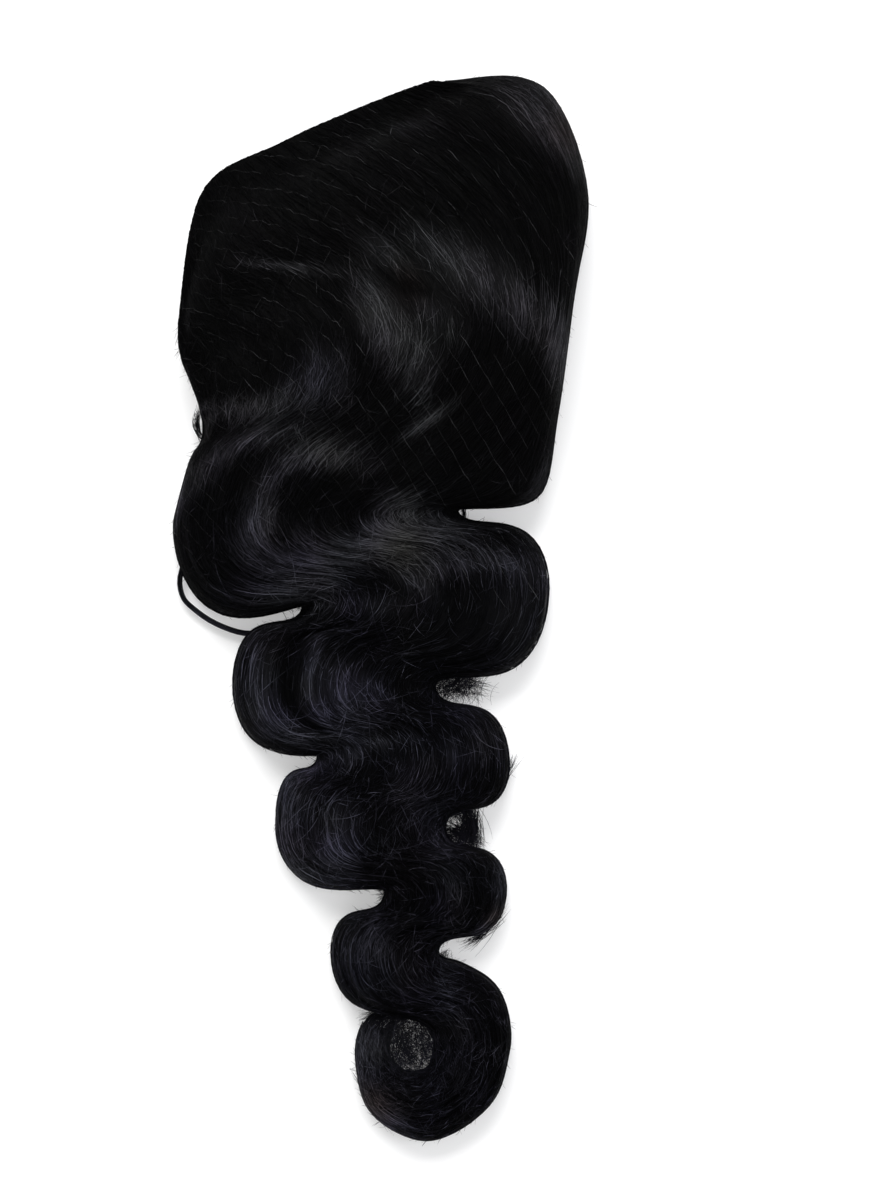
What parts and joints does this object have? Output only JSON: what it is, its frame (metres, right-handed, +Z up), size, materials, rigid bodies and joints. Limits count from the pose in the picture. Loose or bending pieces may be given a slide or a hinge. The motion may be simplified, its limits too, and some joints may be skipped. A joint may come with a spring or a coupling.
{
  "type": "lace frontal",
  "caption": "Lace frontal with long body wave hair, folded in half and lying flat: an open lace pocket between two layers of hair combed to an S-waved tail with a curled tip.",
  "frame": {"origin": "middle of the footprint, on the surface that the piece lies on", "axes": "+Y from the curled tip to the crown, +X to the fold of the lace, +Z up off the surface"},
  "size_m": [0.1742, 0.449, 0.0414],
  "materials": {
    "lace": "fine matt mesh with knotted hair roots",
    "hair": "glossy near-black waved hair with a cool sheen",
    "hair_net": "fine black net thread"
  },
  "bodies": {
    "root": {"lace_base": "lace", "under_hair": "hair", "over_hair": "hair"}
  },
  "joints": []
}
